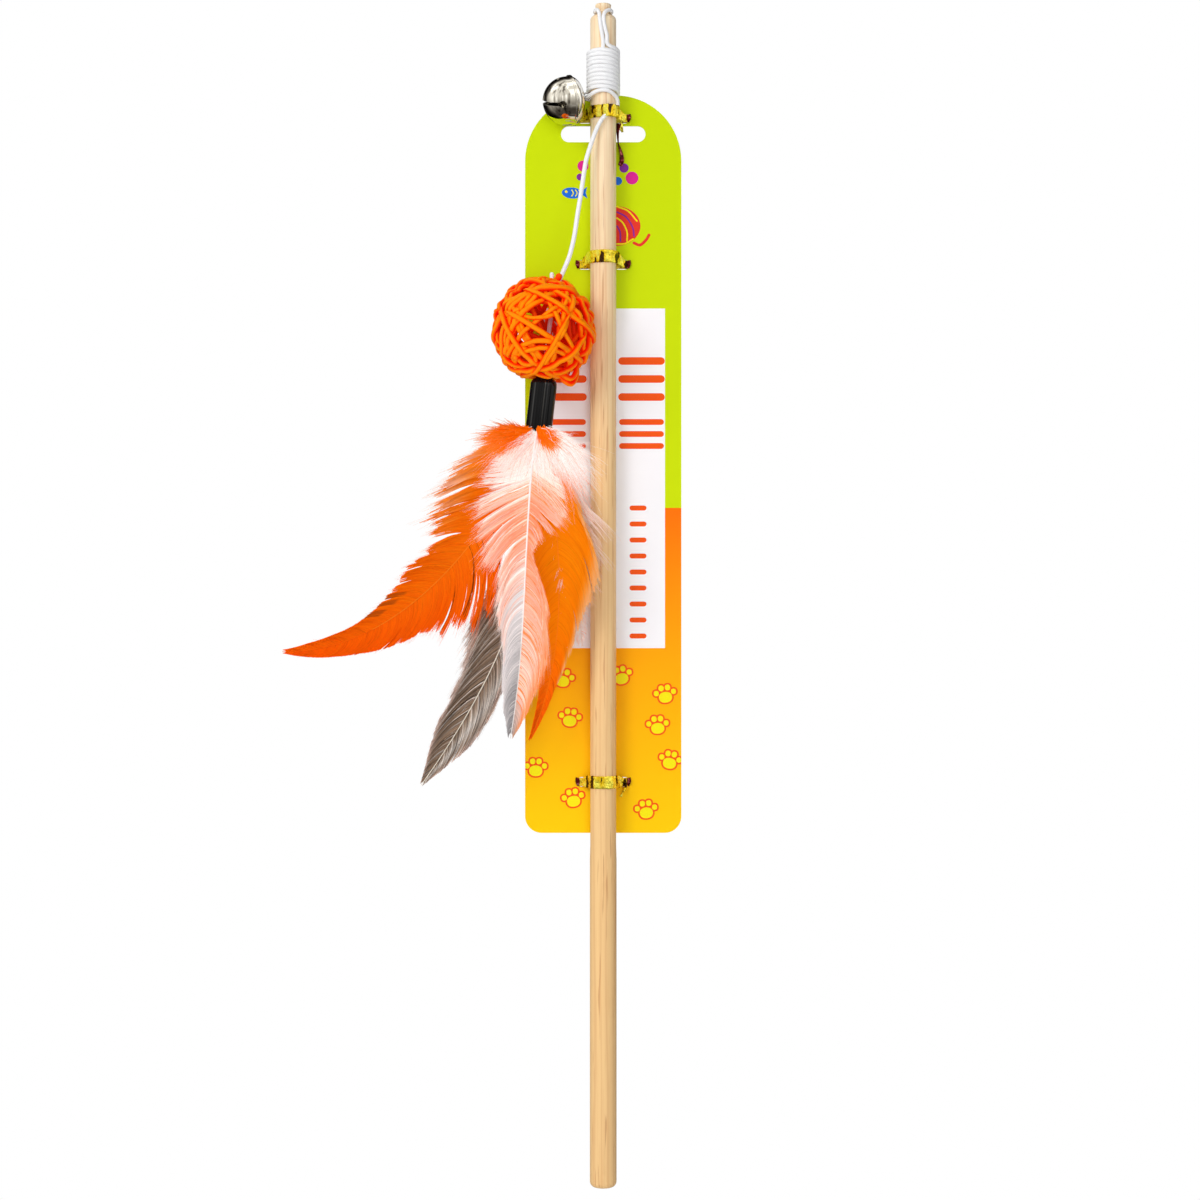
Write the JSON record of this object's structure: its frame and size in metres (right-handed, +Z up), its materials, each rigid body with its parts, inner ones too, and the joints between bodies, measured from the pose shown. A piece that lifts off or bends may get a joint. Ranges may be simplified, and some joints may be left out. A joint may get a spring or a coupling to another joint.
{
  "type": "cat teaser wand",
  "caption": "Wooden wand tied to a hang card, with a wound elastic line, jingle bell, woven ball, cap and feathers as a swinging lure.",
  "frame": {"origin": "centre of the card's hang slot, on the card's back face", "axes": "+X right seen from the front, +Y away from the viewer through the slot, +Z up along the stick"},
  "size_m": [0.1342, 0.0388, 0.4037],
  "materials": {
    "dowel": "satin",
    "card": "gloss",
    "foil": "metallic",
    "elastic": "matte",
    "cane": "satin",
    "bell": "polished",
    "wire": "polished",
    "pellet": "matte",
    "cap": "gloss",
    "glue": "matte",
    "orange_feather": "satin",
    "pale_feather": "satin",
    "grey_feather": "satin",
    "down": "matte"
  },
  "bodies": {
    "carded_stick": {"stick": "dowel", "header_card": "card", "tie_top": "foil", "tie_middle": "foil", "tie_bottom": "foil", "cord_winding": "elastic", "cord_tip_loop": "elastic", "cord_feed": "elastic"},
    "line_bend": {"cord_bend": "elastic"},
    "lure_line": {"cord_drop": "elastic", "cord_core": "elastic", "ball_knot": "elastic", "cord_tail": "elastic", "cap_knot": "elastic"},
    "ball": {"ball_band_1": "cane", "ball_band_2": "cane", "ball_band_3": "cane", "ball_band_4": "cane", "ball_band_5": "cane", "ball_band_6": "cane", "ball_inner_weave": "cane"},
    "tassel": {"ferrule": "cap", "glue_plug": "glue", "feather_long": "orange_feather", "feather_pale": "pale_feather", "feather_grey": "grey_feather", "feather_right": "orange_feather", "feather_wisp": "pale_feather", "down_white": "down", "down_salmon": "pale_feather", "tuft_left": "orange_feather", "tuft_right": "orange_feather"},
    "bell": {"bell_cap_shell": "bell", "bell_slit_shell": "bell", "bell_ring": "wire"},
    "pellet": {"bell_pellet": "pellet"}
  },
  "joints": [
    {"name": "lure_side_swing", "type": "hinge", "parent": "carded_stick", "child": "line_bend", "pos_m": [-0.0007, -0.0105, 0.003], "axis": [0, 1, 0], "range_deg": [0, 45]},
    {"name": "lure_front_swing", "type": "hinge", "parent": "line_bend", "child": "lure_line", "pos_m": [-0.0007, -0.0105, 0.003], "axis": [-1, 0, 0], "range_deg": [0, 60]},
    {"name": "ball_spin", "type": "hinge", "parent": "lure_line", "child": "ball", "pos_m": [-0.0201, -0.0191, -0.0688], "axis": [0.0785, 0, 0.9969], "continuous": true},
    {"name": "tassel_swing", "type": "hinge", "parent": "lure_line", "child": "tassel", "pos_m": [-0.01967, -0.0191, -0.0847], "axis": [0, 1, 0], "range_deg": [-10, 12]},
    {"name": "bell_swing", "type": "hinge", "parent": "carded_stick", "child": "bell", "pos_m": [-0.00552, -0.00797, 0.01141], "axis": [-0.2588, 0.9659, 0], "range_deg": [-15, 35]},
    {"name": "pellet_rattle", "type": "slide", "parent": "bell", "child": "pellet", "axis": [-0.1177, -0.0315, 0.9925], "range_m": [0, 0.0105]}
  ]
}
